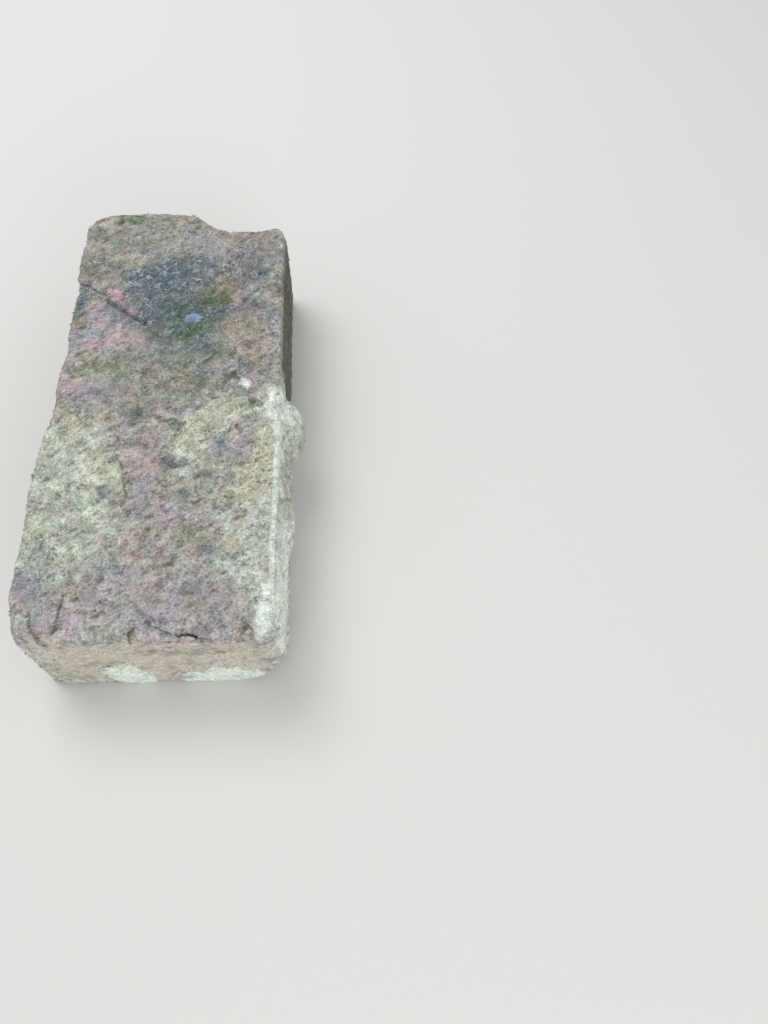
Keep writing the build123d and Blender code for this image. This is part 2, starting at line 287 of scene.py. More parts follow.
        (33, 88, 14, 8, 0.55), (-4, 66, 26, 15, 0.8, 15), (28, 71, 11, 10, 0.88), (-27, 63, 8, 5, 0.58),
        (-3, -81, 8, 7, 0.28),
    ]},
    "stain": {"hidden": 0.0, "upper": [(9.6, 44.6, 4.2, 3.4, 1.1, 45), (-2, 46, 4, 3, 0.45)]},
}

# Ridge of lime along the near part of the upper right arris: its course and half width
LIME_RIDGE = [(47.3, -14.0), (46.7, -50.0), (46.3, -80.0)], 1.35

# Wandering of a patch's rim, as pairs of noise size and reach, and the size of the
# patches on the faces that have none of their own
RIM_WANDER = [(15 * MM, 4.0 * MM), (5 * MM, 2.0 * MM)]
HIDDEN_PATCH_SIZE = 26 * MM

# Depths below the upper bed, and behind the near and right faces, where patches are
# still whole and where they end
UPPER_WHOLE, UPPER_END = 3 * MM, 7 * MM
SIDE_WHOLE, SIDE_END = 2.5 * MM, 6 * MM

# Stones that are strewn on the brick: how far they stray from a point of the surface,
# and the least and greatest share of a stone's size in each direction
STONE_STRAY = 0.5 * MM
STONE_SHARES = (0.65, 1.0)

# Direction in plan of the streaks left by moulding, and how much longer than wide they are
STREAK_TURN = math.radians(38)
STREAK_STRETCH = 1.55

# Gloss and bump of the clay, and how far apart its pores and its sparkling grains lie
CLAY_SPECULAR, CLAY_ROUGHNESS, BUMP_REACH = 0.35, 0.92, 1 * MM
PORE_SPACING, SPARKLE_SPACING = 1.7 * MM, 1.8 * MM

# The studio, in metres and degrees
FLOOR_HALF, FLOOR_LINES, FLOOR_GAP = 3.0, 13, 0.1 * MM
KEY_PLACE, KEY_SIZE = (-0.35, 0.45, 1.10), 0.7
FILL_PLACE, FILL_SIZE = (0.45, -0.95, 0.35), 0.6
CAMERA_PLACE = (0.072028, -0.194434, 0.313748)
CAMERA_TURN = (27.916, -2.4645, -2.3384)
SENSOR_WIDTH = 36.0

BODY_NAME = "brick_surface"
SEEDS = {"clay": 11, "chips": 23, "layers": 37, "sand_grains": 53, "crust_crumbs": 61, "moss_grains": 71}


def smooth(low, high, value):
    """0 below low, 1 above high, and 3t^2 - 2t^3 of the share t in between."""
    share = np.clip((value - low) / (high - low), 0.0, 1.0)
    return share * share * (3.0 - 2.0 * share)


def rounded_meet(first, second, radius):
    """Distance to what lies inside both of two shapes, with the edge where they meet rounded.

    With a and b the two distances plus the radius, it is the length of (a, b) where
    both are positive and the greater of them elsewhere, less the radius.
    """
    a = first + radius
    b = second + radius
    outer = np.hypot(np.maximum(a, 0.0), np.maximum(b, 0.0))
    return np.minimum(np.maximum(a, b), 0.0) + outer - radius


def rounded_join(first, second, radius):
    """Distance to what lies inside either of two shapes, with a rounded fillet between them."""
    return -rounded_meet(-first, -second, radius)


class Noise:
    """Seeded gradient noise: a smooth field of about -1 to 1, made from random slopes on a lattice.

    At a point it is the gain times the sum of the eight slopes round it, each times the
    point's offset from its lattice corner and weighted by 6t^5 - 15t^4 + 10t^3 along
    each axis.
    A bare number that is added to the points, or given to a noise node as its shift,
    only moves the noise, so that two uses of it differ.
    """

    LATTICE = 256
    GAIN = 1.6

    def __init__(self, seed):
        rng = np.random.default_rng(seed)
        slopes = rng.normal(size=(self.LATTICE, 3))
        self.slopes = slopes / np.linalg.norm(slopes, axis=1, keepdims=True)
        self.order = rng.permutation(self.LATTICE)

    def at(self, points, size):
        """The noise at each point, with features of the given size."""
        cells = points / size
        base = np.floor(cells).astype(int)
        part = cells - base
        fade = part ** 3 * (part * (part * 6.0 - 15.0) + 10.0)
        total = np.zeros(len(points))
        for corner in np.ndindex(2, 2, 2):
            key = np.zeros(len(points), int)
            for axis in range(3):
                key = self.order[(key + base[:, axis] + corner[axis]) % self.LATTICE]
            slope = np.einsum("ij,ij->i", self.slopes[key], part - corner)
            weight = np.prod(np.where(corner, fade, 1.0 - fade), axis=1)
            total += weight * slope
        return self.GAIN * total

    def layered(self, points, size, count):
        """Sum of noises, each half as coarse and half as strong as the one before."""
        return sum(self.at(points, size * 0.5 ** n) * 0.5 ** n for n in range(count))


def streaked(points):
    """Points turned in plan to the moulding streaks and drawn together along them."""
    x, y, z = points.T
    along = x * math.cos(STREAK_TURN) + y * math.sin(STREAK_TURN)
    across = y * math.cos(STREAK_TURN) - x * math.sin(STREAK_TURN)
    return np.column_stack([along / STREAK_STRETCH, across, z])


def course_distance(places, course):
    """Distance in plan from each place to a course of straight segments, and the share of it gone there."""
    course = np.array(course) * MM
    nearest, share = np.full(len(places), np.inf), np.zeros(len(places))
    count = len(course) - 1
    for number, (start, end) in enumerate(zip(course, course[1:])):
        along = end - start
        part = np.clip(((places - start) @ along) / (along @ along), 0.0, 1.0)
        away = np.linalg.norm(places - start - part[:, None] * along, axis=1)
        share = np.where(away < nearest, (number + part) / count, share)
        nearest = np.minimum(nearest, away)
    return nearest, share


def left_face(y):
    """Where the foot of the left face stands at each y: worn near corner and step."""
    worn = WORN_DEPTH * np.clip(1.0 - (y - NEAR) / WORN_LENGTH, 0.0, 1.0)
    return LEFT + worn + STEP_DEPTH * smooth(STEP_START, STEP_END, y)


def far_face(x):
    """Where the far face stands at each x: tilted parabola of the swell, a ramp, parabola of the hollow."""
    share = (x - SWELL_MIDDLE) / SWELL_HALF
    shoulders = (SWELL_LEFT_SHOULDER + SWELL_RIGHT_SHOULDER) / 2
    tilt = (SWELL_RIGHT_SHOULDER - SWELL_LEFT_SHOULDER) / 2
    swell = SWELL_RISE - (SWELL_RISE - shoulders) * share ** 2 + tilt * share
    hollow = HOLLOW_RIM * np.minimum(np.abs(x - HOLLOW_MIDDLE) / HOLLOW_HALF, 1.0) ** 2 - HOLLOW_DEPTH
    ramp = smooth(RAMP_START, RAMP_END, x)
    return FAR + np.maximum(swell, 0.0) * (1.0 - ramp) + hollow * ramp


def lip_place(places):
    """Where each place lies by the lip: the share along its chord, and the distance behind its arc.

    The distance is positive on the side where the layer is gone.
    """
    chord = LIP_END - LIP_START
    half = np.linalg.norm(chord) / 2
    radius = (half ** 2 + LIP_BOW ** 2) / (2 * LIP_BOW)
    inward = np.array([chord[1], -chord[0]]) / (2 * half)
    middle = (LIP_START + LIP_END) / 2 + inward * (radius - LIP_BOW)
    share = (places - LIP_START) @ chord / (chord @ chord)
    return share, radius - np.linalg.norm(places - middle, axis=1)


def scar_depth(places, noise):
    """How far the bed lies below its plane: a tilted floor behind the lip, and a groove at its foot.

    The floor is the plane through the deepest place, at the lip's start, and the two
    places where it comes up to the bed, at the lip's end and at the fade.
    """
    flat = np.column_stack([places, np.zeros(len(places))])
    to_end, to_fade = LIP_END - LIP_START, SCAR_FADE - LIP_START
    grid = np.linalg.solve(np.column_stack([to_end, to_fade]), (places - LIP_START).T)
    floor = np.clip(1.0 - grid[0] - grid[1], 0.0, 1.2)
    share, side = lip_place(places)
    side = side + LIP_WANDER * noise.layered(flat, LIP_WANDER_SIZE, 2)
    inside = smooth(-0.55 * LIP_SLOPE, 0.45 * LIP_SLOPE, side)
    ends = smooth(1.2, 0.8, share) * smooth(GROOVE_END, GROOVE_FULL, side)
    groove = LIP_GROOVE * np.exp(-(((side - 0.7 * LIP_SLOPE) / (0.5 * LIP_SLOPE)) ** 2)) * ends
    return inside * (SCAR_DEPTH * floor + groove)


def marks_depth(places):
    """Depth of the narrow marks: bell-shaped across, and fading at their ends."""
    depth = np.zeros(len(places))
    for course, half, deep, _ in MARKS:
        away, share = course_distance(places, course)
        ends = smooth(0.0, 0.2, np.minimum(share, 1.0 - share) + 0.06)
        width = max(half, LEAST_DENT) * MM
        depth = np.maximum(depth, deep * MM * ends * np.exp(-((away / width) ** 2)))
    return depth


def crust_height(places):
    """Height of the raised crusts: flat on top, with a steep rim."""
    height = np.zeros(len(places))
    for patch, rise in RAISED_CRUSTS:
        height = np.maximum(height, rise * smooth(0.42, 0.62, oval_cover(*places.T, [patch], 3)))
    return height


def hollow_depth(places):
    """Depth of the shallow hollows: each is its depth times 1 - d^2, at a share d of its radius."""
    depth = np.zeros(len(places))
    for from_left, from_near, width, deep in BED_HOLLOWS:
        away = np.linalg.norm(places - (LEFT + from_left, NEAR + from_near), axis=1) / (width / 2)
        depth = np.maximum(depth, deep * (1.0 - np.minimum(away, 1.0) ** 2))
    return depth


def face_distances(points, noise):
    """Distance of each point outside the left, right, near, far, upper and lower faces."""
    x, y, z = points.T
    lean = (z - LOWER) * DRAFT + SIDE_SKIN
    along = (y - NEAR) / LENGTH
    lost = np.maximum(scar_depth(points[:, :2], noise), hollow_depth(points[:, :2]))
    return (
        left_face(y) + lean - x,
        x - (RIGHT - RIGHT_LEAN * along) + lean,
        NEAR + lean - y,
        y - far_face(x) + lean,
        z - (UPPER - UPPER_SKIN - lost),
        LOWER + LOWER_SKIN - z,
    )


def lump_distance(points, lump):
    """Distance outside a lump, an egg shape: its scaled radius less 1, times its least half size."""
    from_near, length, radius, reach, height, turn = lump
    lift = points - (RIGHT + reach - SIDE_SKIN - radius, NEAR + from_near, LOWER + height)
    across = lift[:, 0] * math.cos(turn) + lift[:, 1] * math.sin(turn)
    along = lift[:, 1] * math.cos(turn) - lift[:, 0] * math.sin(turn)
    half = np.array([radius, length / 2, radius]) - SIDE_SKIN
    scaled = np.column_stack([across, along, lift[:, 2]]) / half
    return (np.linalg.norm(scaled, axis=1) - 1.0) * half.min()


def bite_distance(points, bite):
    """Distance outside the ball that takes a bite out of the upper left arris."""
    from_near, length, depth = bite
    radius = (length ** 2 / 4 + depth ** 2) / (2 * depth)
    rise = UPPER - BITE_BELOW_BED - LOWER
    stepped = STEP_DEPTH if from_near > (STEP_START + STEP_END) / 2 - NEAR else 0.0
    face = LEFT + stepped + rise * DRAFT + SIDE_SKIN
    middle = (face + depth - radius, NEAR + from_near, LOWER + rise)
    return np.linalg.norm(points - middle, axis=1) - radius


def clay_distance(points, noise):
    """Distance of each point outside the clay and its lumps of mortar, negative inside.

    The six faces meet with rounded arrises, a plane takes the chipped corner off, balls
    bite into the left arris, and the lumps join the right face with small fillets.
    """
    left, right, near, far, upper, lower = face_distances(points, noise)
    x, y, z = points.T
    radius = np.where((x < 0) & (y > 0), FAR_LEFT_RADIUS, CORNER_RADIUS)
    plan = rounded_meet(np.maximum(left, right), np.maximum(near, far), radius)
    body = rounded_meet(plan, upper, UPPER_RADIUS)
    body = rounded_meet(body, lower, LOWER_RADIUS)
    reach = (RIGHT - x) / CHIP_REACH[0] + (y - NEAR) / CHIP_REACH[1] + (z - LOWER) / CHIP_REACH[2]
    chip = (1.0 - reach) / np.linalg.norm(1.0 / CHIP_REACH)
    body = rounded_meet(body, chip, CHIP_RADIUS)
    for bite in ARRIS_BITES:
        body = rounded_meet(body, -bite_distance(points, bite), BITE_RADIUS)
    for lump in MORTAR_LUMPS:
        body = rounded_join(body, lump_distance(points, lump), LUMP_FILLET)
    return body


def arris_nearness(points, noise):
    """1 on an arris, falling off as the exponential of the distance from it over its reach."""
    faces = np.sort(np.array(face_distances(points, noise)), axis=0)
    return np.exp(np.minimum(faces[-2], 0.0) / ARRIS_REACH)


def field_slope(field, points, step):
    """Unit direction in which a field rises fastest, from its differences over a small step."""
    slopes = []
    for axis in range(3):
        shift = np.zeros(3)
        shift[axis] = step
        slopes.append(field(points + shift) - field(points - shift))
    slope = np.column_stack(slopes)
    return slope / np.maximum(np.linalg.norm(slope, axis=1, keepdims=True), 1e-12)


def sheet_quads(sheet):
    """The quads between a grid of point numbers, turning from its first axis to its second."""
    corners = [sheet[:-1, :-1], sheet[1:, :-1], sheet[1:, 1:], sheet[:-1, 1:]]
    return np.stack(corners, axis=-1).reshape(-1, 4)


def box_shell(counts):
    """Lattice places on the outside of a box of cells, and for each side its quads and their charts.

    The quads of neighbouring sides share their places, so the shell is closed. A chart
    is the two lattice numbers that run across the side, for its unwrapping.
    """
    nx, ny, nz = counts
    lattice = np.indices((nx + 1, ny + 1, nz + 1)).reshape(3, -1).T
    outside = ((lattice == 0) | (lattice == counts)).any(axis=1)
    places = lattice[outside]
    numbers = np.full(len(lattice), -1)
    numbers[outside] = np.arange(len(places))
    numbers = numbers.reshape(nx + 1, ny + 1, nz + 1)
    sides = {
        "upper": (numbers[:, :, nz], False, (0, 1)),
        "lower": (numbers[:, :, 0], True, (0, 1)),
        "right": (numbers[nx, :, :], False, (1, 2)),
        "left": (numbers[0, :, :], True, (1, 2)),
        "far": (numbers[:, ny, :], True, (0, 2)),
        "near": (numbers[:, 0, :], False, (0, 2)),
    }
    quads, charts = [], []
    for name, (sheet, turned, axes) in sides.items():
        quad = sheet_quads(sheet)
        quads.append(quad[:, ::-1] if turned else quad)
        charts.append((name, len(quad), axes, turned))
    return places, np.concatenate(quads), charts


def settle(field, outer, inner, rounds=70, pace=0.6):
    """Moves points from outer towards inner until they meet the surface of a field.

    Each round goes on by the pace times the distance that the field says is still
    free, and comes back where it is negative.
    """
    path = inner - outer
    reach = np.linalg.norm(path, axis=1)
    way = path / reach[:, None]
    gone = np.zeros(len(outer))
    for _ in range(rounds):
        gone = np.clip(gone + pace * field(outer + way * gone[:, None]), 0.0, reach)
    return outer + way * gone[:, None]


def oval_cover(u, v, patches, sharpness=2):
    """Greatest cover of any oval patch: its strength times 2 to the power -d^(2 * sharpness)."""
    cover = np.zeros(len(u))
    for middle_u, middle_v, half_u, half_v, strength, *turn in patches:
        angle = math.radians(turn[0] if turn else 0.0)
        du, dv = u - middle_u * MM, v - middle_v * MM
        across = (du * math.cos(angle) + dv * math.sin(angle)) / (half_u * MM)
        along = (dv * math.cos(angle) - du * math.sin(angle)) / (half_v * MM)
        cover = np.maximum(cover, strength * np.exp2(-((across ** 2 + along ** 2) ** sharpness)))
    return cover


def layer_cover(points, layer, noise):
    """Cover of one layer at each point, from its patches on each face, with wandering rims.

    On the faces that have no patches of their own, it is noise instead, raised by the
    layer's share there.
    """
    moved = points.copy()
    for size, reach in RIM_WANDER:
        for axis in range(3):
            moved[:, axis] += reach * noise.at(points + (axis + 1) * 0.37, size)
    x, y, z = moved.T
    on_upper = smooth(UPPER - UPPER_END, UPPER - UPPER_WHOLE, points[:, 2])
    on_near = smooth(NEAR + SIDE_END, NEAR + SIDE_WHOLE, points[:, 1]) * (1 - on_upper)
    on_right = smooth(RIGHT - SIDE_END, RIGHT - SIDE_WHOLE, points[:, 0])
    on_right = on_right * (1 - on_upper) * (1 - on_near)
    hidden = np.clip(1.0 - on_upper - on_near - on_right, 0.0, 1.0)
    spread = 0.5 + 0.75 * noise.layered(points + 0.91, HIDDEN_PATCH_SIZE, 3)
    return (
        on_upper * oval_cover(x, y, layer["upper"])
        + on_near * oval_cover(x, z, layer.get("near", ()))
        + on_right * oval_cover(y, z, layer.get("right", ()))
        + hidden * np.clip(spread * layer["hidden"] / 0.35, 0.0, 1.0)
    )


def all_covers(points):
    """Cover of every layer, by name. Each has noise of its own."""
    return {
        name: layer_cover(points, layer, Noise(SEEDS["layers"] + number))
        for number, (name, layer) in enumerate(LAYERS.items())
    }


def set_attributes(mesh, values):
    """Stores one number for each vertex under each name."""
    for name, numbers in values.items():
        attribute = mesh.attributes.new(name, "FLOAT", "POINT")
        attribute.data.foreach_set("value", numbers.astype(np.float32))


def make_object(name, points, faces):
    """A mesh object from whole arrays of points and faces, at the origin and shaded smooth."""
    mesh = bpy.data.meshes.new(name)
    mesh.from_pydata(points, [], faces)
    mesh.polygons.foreach_set("use_smooth", np.ones(len(faces), bool))
    mesh.update()
    made = bpy.data.objects.new(name, mesh)
    bpy.context.scene.collection.objects.link(made)
    return made


def into_box(points):
    """The points, kept inside the solid's own box."""
    return np.clip(points, CAD_LOW, CAD_HIGH)


def unwrap(mesh, places, quads, charts, stretch):
    """Lays each side of the shell flat in one square map, at one scale, with gaps between sides.

    The stretch is the length of a lattice cell along each axis, in cells of the plan.
    """
    gap = 4
    places = places * stretch
    size = {name: places[:, list(axes)].max(axis=0) for name, _, axes, _ in charts}
    width, length = size["upper"]
    height = size["near"][1]
    origins = {
        "upper": (0, 0, False),
        "lower": (width + gap, 0, False),
        "right": (2 * (width + gap), 0, True),
        "left": (2 * (width + gap) + height + gap, 0, True),
        "near": (0, length + gap, False),
        "far": (width + gap, length + gap, False),
    }
    whole = max(2 * (width + gap) + 2 * (height + gap), length + height + 2 * gap)
    coords = np.empty((len(quads) * 4, 2))
    first = 0
    for name, count, axes, turned in charts:
        flat = places[quads[first:first + count].ravel()][:, list(axes)]
        u0, v0, upright = origins[name]
        if turned != upright:
            flat[:, 0] = size[name][0] - flat[:, 0]
        if upright:
            flat = flat[:, ::-1]
        coords[4 * first:4 * (first + count)] = (flat + (u0, v0) + gap / 2) / whole
        first += count
    layer = mesh.uv_layers.new(name="OFBake")
    layer.data.foreach_set("uv", coords.ravel().astype(np.float32))


def clay_relief(points, covers, noise):
    """Height of the surface over its mean, and the part of it whose low places are darkened as painted shade.

    It sums grain of several sizes, drawn out along the moulding streaks, pits, chipped
    arrises and the thickness of crusts.
    """
    along = streaked(points)
    grain = WAVE_HEIGHT * noise.layered(points, WAVE_SIZE, 2)
    grain += GRAIN_HEIGHT * noise.layered(along, GRAIN_SIZE, 2)
    grain += GRIT_HEIGHT * noise.at(along + 0.2, GRIT_SIZE)
    pits = PIT_DEPTH * smooth(0.35, 0.75, noise.at(along + 0.5, PIT_SIZE))
    chips = Noise(SEEDS["chips"])
    loss = LARGE_CHIP_DEPTH * smooth(0.20, 0.65, chips.at(points, LARGE_CHIP_SIZE))
    loss += SMALL_CHIP_DEPTH * smooth(0.1, 0.6, chips.at(points, SMALL_CHIP_SIZE))
    loss *= arris_nearness(points, noise) * (1 - smooth(0.3, 0.6, covers["mortar"]))
    rough = 0.5 + 0.5 * noise.at(points + 0.8, CRUST_SIZE)
    crust = MORTAR_HEIGHT * smooth(0.35, 0.6, covers["mortar"]) * (0.6 + 0.8 * rough)
    crust += LICHEN_HEIGHT * smooth(0.35, 0.6, covers["lichen"]) * (0.5 + rough)
    # The grain less the pits, whose low places the colour darkens as painted shade
    shade_relief = grain - pits
    return shade_relief - loss + crust, shade_relief


class Shell:
    """The brick's whole surface: a box lattice settled on the clay, then lifted by its relief.

    Each place of the lattice starts on a box just outside the brick and moves towards
    the nearest point of a smaller box, the core, inside the clay.
    """

    def __init__(self, plan_spacing, height_spacing):
        noise = Noise(SEEDS["clay"])
        low = np.array([LEFT, NEAR, LOWER]) - START_MARGIN
        high = np.array([RIGHT, FAR + SWELL_RISE, UPPER]) + START_MARGIN
        spacing = np.array([plan_spacing, plan_spacing, height_spacing])
        counts = np.round((high - low) / spacing).astype(int)
        self.places, self.quads, self.charts = box_shell(counts)
        self.stretch = (high - low) / counts / plan_spacing
        outer = low + (high - low) * self.places / counts
        inner = np.clip(outer, low + CORE_DEPTH, high - CORE_DEPTH)
        outer[:, 0] += MORTAR_MARGIN * (outer[:, 0] > RIGHT)
        points = settle(lambda there: clay_distance(there, noise), outer, inner)
        self.normals = field_slope(lambda there: clay_distance(there, noise), points, SLOPE_STEP)
        self.covers = all_covers(points)
        relief, shade_relief = clay_relief(points, self.covers, noise)
        high_up = smooth(UPPER - DENTS_END, UPPER - MARKS_WHOLE, points[:, 2])
        relief = relief + (crust_height(points[:, :2]) - marks_depth(points[:, :2])) * high_up
        self.points = into_box(points + self.normals * relief[:, None])
        # Painted shade along the foot of the lip, stored as a cover that darkens the colour there
        share, side = lip_place(points[:, :2])
        foot = np.exp(-(((side - 0.75 * LIP_SLOPE) / (0.45 * LIP_SLOPE)) ** 2))
        foot = foot * smooth(1.15, 0.85, share) * smooth(0.2, 0.5, share)
        # Painted shade: this cover darkens the colour in the low places of the grain and pits, and lightens
        # the high places a little
        self.covers["hollow"] = np.clip(0.5 - shade_relief / (1.1 * MM), 0.0, 1.0)
        self.covers["lip_foot"] = foot * high_up
        self.covers["tone"] = np.full(len(points), 0.5)


def stored(items, name, count):
    """One property of all items of a mesh, as an array of that many numbers."""
    values = np.empty(count, np.float32)
    items.foreach_get(name, values)
    return values.astype(float)


class Surface:
    """The finished surface as its mesh stores it: points, normals and covers, as whole arrays."""

    def __init__(self, mesh):
        count = len(mesh.vertices)
        self.points = stored(mesh.vertices, "co", count * 3).reshape(-1, 3)
        self.normals = stored(mesh.vertex_normals, "vector", count * 3).reshape(-1, 3)
        names = [*LAYERS, "hollow", "lip_foot", "tone"]
        self.covers = {name: stored(mesh.attributes[name].data, "value", count) for name in names}


def pebble(seed):
    """A stone of unit size: two staggered rings of five points between two poles, unevenly drawn in."""
    rng = np.random.default_rng(seed)
    turns = np.arange(10) * math.pi / 5
    rise = np.where(np.arange(10) % 2, -0.45, 0.45)
    ring = np.column_stack([np.cos(turns) * 0.9, np.sin(turns) * 0.9, rise])
    points = np.vstack([[0, 0, 1], ring, [0, 0, -1]]) * rng.uniform(0.75, 1.1, (12, 1))
    upper, lower = np.arange(1, 11, 2), np.arange(2, 12, 2)
    after_upper, after_lower = np.roll(upper, -1), np.roll(lower, -1)
    top, bottom = np.zeros(5, int), np.full(5, 11)
    faces = np.vstack([
        np.column_stack([top, upper, after_upper]),
        np.column_stack([upper, lower, after_upper]),
        np.column_stack([lower, after_lower, after_upper]),
        np.column_stack([bottom, after_lower, lower]),
    ])
    return points, faces


def scatter(surface, weights, count, radii, sink, tones, seed):
    """Many small stones on the surface: their points, faces and the covers where each one sits.

    Places are drawn by weight. Each stone has a size between the radii, three half sizes
    that are shares of it, a turn and a tone, and stands with its middle sunk in the
    clay by a share of its size.
    """
    rng = np.random.default_rng(seed)
    picks = rng.choice(len(surface.points), count, p=weights / weights.sum())
    middle = surface.points[picks] + rng.uniform(-1.0, 1.0, (count, 3)) * STONE_STRAY
    size = rng.uniform(*radii, (count, 1)) * rng.uniform(*STONE_SHARES, (count, 3))
    turn = np.linalg.qr(rng.normal(size=(count, 3, 3)))[0]
    turn *= np.sign(np.linalg.det(turn))[:, None, None]
    stone, faces = pebble(seed)
    points = np.einsum("nij,npj->npi", turn, stone[None] * size[:, None, :])
    points += (middle - surface.normals[picks] * sink * size.mean(axis=1, keepdims=True))[:, None, :]
    low, high = points.min(axis=1), points.max(axis=1)
    points += (np.maximum(CAD_LOW - low, 0.0) - np.maximum(high - CAD_HIGH, 0.0))[:, None, :]
    faces = (faces[None] + len(stone) * np.arange(count)[:, None, None]).reshape(-1, 3)
    covers = {name: np.repeat(cover[picks], len(stone)) for name, cover in surface.covers.items()}
    covers["tone"] = np.repeat(rng.uniform(*tones, count), len(stone))
    # The stones get the slight lightening of high places, and none of the painted shade of the hollows
    covers["hollow"] = np.full(count * len(stone), 0.4)
    return points.reshape(-1, 3), faces, covers


def joined_by(operation, reflected=False):
    """A method that joins a field and another value by one Math node, or Vector Math for colours."""
    def combine(self, other):
        vectors = self.socket.type in {"RGBA", "VECTOR"}
        kind = "ShaderNodeVectorMath" if vectors else "ShaderNodeMath"
        first, second = (other, self) if reflected else (self, other)
        return self.paint.node(kind, {"operation": operation}, {0: first, 1: second})
    return combine


class Field:
    """A node's output that takes part in sums: numbers by Math nodes, colours by Vector Math."""

    def __init__(self, paint, socket):
        self.paint = paint
        self.socket = socket

    __add__, __radd__ = joined_by("ADD"), joined_by("ADD", reflected=True)
    __sub__, __rsub__ = joined_by("SUBTRACT"), joined_by("SUBTRACT", reflected=True)
    __mul__, __rmul__ = joined_by("MULTIPLY"), joined_by("MULTIPLY", reflected=True)
    least, greatest = joined_by("MINIMUM"), joined_by("MAXIMUM")

    def dot(self, other):
        """Dot product of two vectors, as a number."""
        settings = {"operation": "DOT_PRODUCT"}
        return self.paint.node("ShaderNodeVectorMath", settings, {0: self, 1: other}, "Value")

    def length(self):
        """Length of a vector, as a number."""
        return self.paint.node("ShaderNodeVectorMath", {"operation": "LENGTH"}, {0: self}, "Value")


class Paint:
    """Builds one material's nodes."""

    def __init__(self, name):
        self.material = bpy.data.materials.new(name)
        self.material.use_nodes = True
        self.tree = self.material.node_tree
        self.tree.nodes.clear()
        self.place = self.node("ShaderNodeTexCoord", {}, {}, "Object")

    def node(self, kind, settings, inputs, output=0):
        """One node: its settings first, then its inputs as numbers, colours or links."""
        made = self.tree.nodes.new(kind)
        for name, value in settings.items():
            setattr(made, name, value)
        for key, value in inputs.items():
            if isinstance(value, Field):
                self.tree.links.new(value.socket, made.inputs[key])
            else:
                made.inputs[key].default_value = value
        return Field(self, made.outputs[output])

    def mapping(self, place, change, value):
        """A place turned, moved or scaled by one Mapping node."""
        return self.node("ShaderNodeMapping", {"vector_type": "POINT"}, {"Vector": place, change: value})

    def noise(self, size, detail, shift=0.0, place=None):
        """Noise with features of the given size in metres, spread out to about 0 to 1."""
        place = place or self.place + (shift, shift, shift)
        inputs = {"Vector": place, "Scale": 1.0 / size, "Detail": detail, "Roughness": 0.6}
        raw = self.node("ShaderNodeTexNoise", {"noise_dimensions": "3D"}, inputs, "Fac")
        return self.ramp(raw, 0.30, 0.70, kind="LINEAR")

    def cells(self, size):
        """Distance from the nearest of many scattered points, one to each cell of that size in metres."""
        settings = {"voronoi_dimensions": "3D", "feature": "F1"}
        inputs = {"Vector": self.place, "Scale": 1.0 / size}
        return self.node("ShaderNodeTexVoronoi", settings, inputs, "Distance")

    def attribute(self, name):
        """A number stored on the mesh under a name."""
        return self.node("ShaderNodeAttribute", {"attribute_name": name}, {}, "Fac")

    def ramp(self, value, low, high, start=0.0, end=1.0, kind="SMOOTHSTEP"):
        """Step of a value from low to high, onto start to end."""
        settings = {"interpolation_type": kind}
        inputs = {"Value": value, "From Min": low, "From Max": high, "To Min": start, "To Max": end}
        return self.node("ShaderNodeMapRange", settings, inputs, "Result")

    def mix(self, factor, first, second, blend="MIX"):
        """Two colours mixed by a factor."""
        colours = [(*value, 1.0) if isinstance(value, tuple) else value for value in (first, second)]
        inputs = {0: factor, 6: colours[0], 7: colours[1]}
        return self.node("ShaderNodeMix", {"data_type": "RGBA", "blend_type": blend}, inputs, 2)

    def course(self, course, half, wander):
        """1 on a course of straight segments in plan, given in millimetres, and 0 beyond its half width."""
        flat = self.place * (1.0, 1.0, 0.0)
        nearest = None
        for start, end in zip(course, course[1:]):
            start, end = (Vector((*point, 0.0)) * MM for point in (start, end))
            along = end - start
            away = flat - tuple(start)
            part = away.dot(tuple(along / along.length_squared)).greatest(0.0).least(1.0)
            away = (away - self.along(along, part)).length()
            nearest = away if nearest is None else nearest.least(away)
        return self.ramp(nearest + wander, 0.35 * half * MM, 1.15 * half * MM, 1.0, 0.0)

    def along(self, direction, part):
        """The part of a fixed direction, as a vector."""
        settings = {"operation": "SCALE"}
        return self.node("ShaderNodeVectorMath", settings, {0: tuple(direction), "Scale": part})

    def finish(self, colour, roughness, height, reach):
        """Joins colour, roughness and a bump of that reach to the material's surface."""
        normal = self.node("ShaderNodeBump", {}, {"Strength": 1.0, "Distance": reach, "Height": height})
        inputs = {"Base Color": colour, "Roughness": roughness, "Normal": normal}
        inputs["Specular IOR Level"] = CLAY_SPECULAR
        self.output(self.node("ShaderNodeBsdfPrincipled", {}, inputs))
        return self.material

    def output(self, surface):
        """Ends the material in a shader."""
        end = self.tree.nodes.new("ShaderNodeOutputMaterial")
        self.tree.links.new(surface.socket, end.inputs["Surface"])


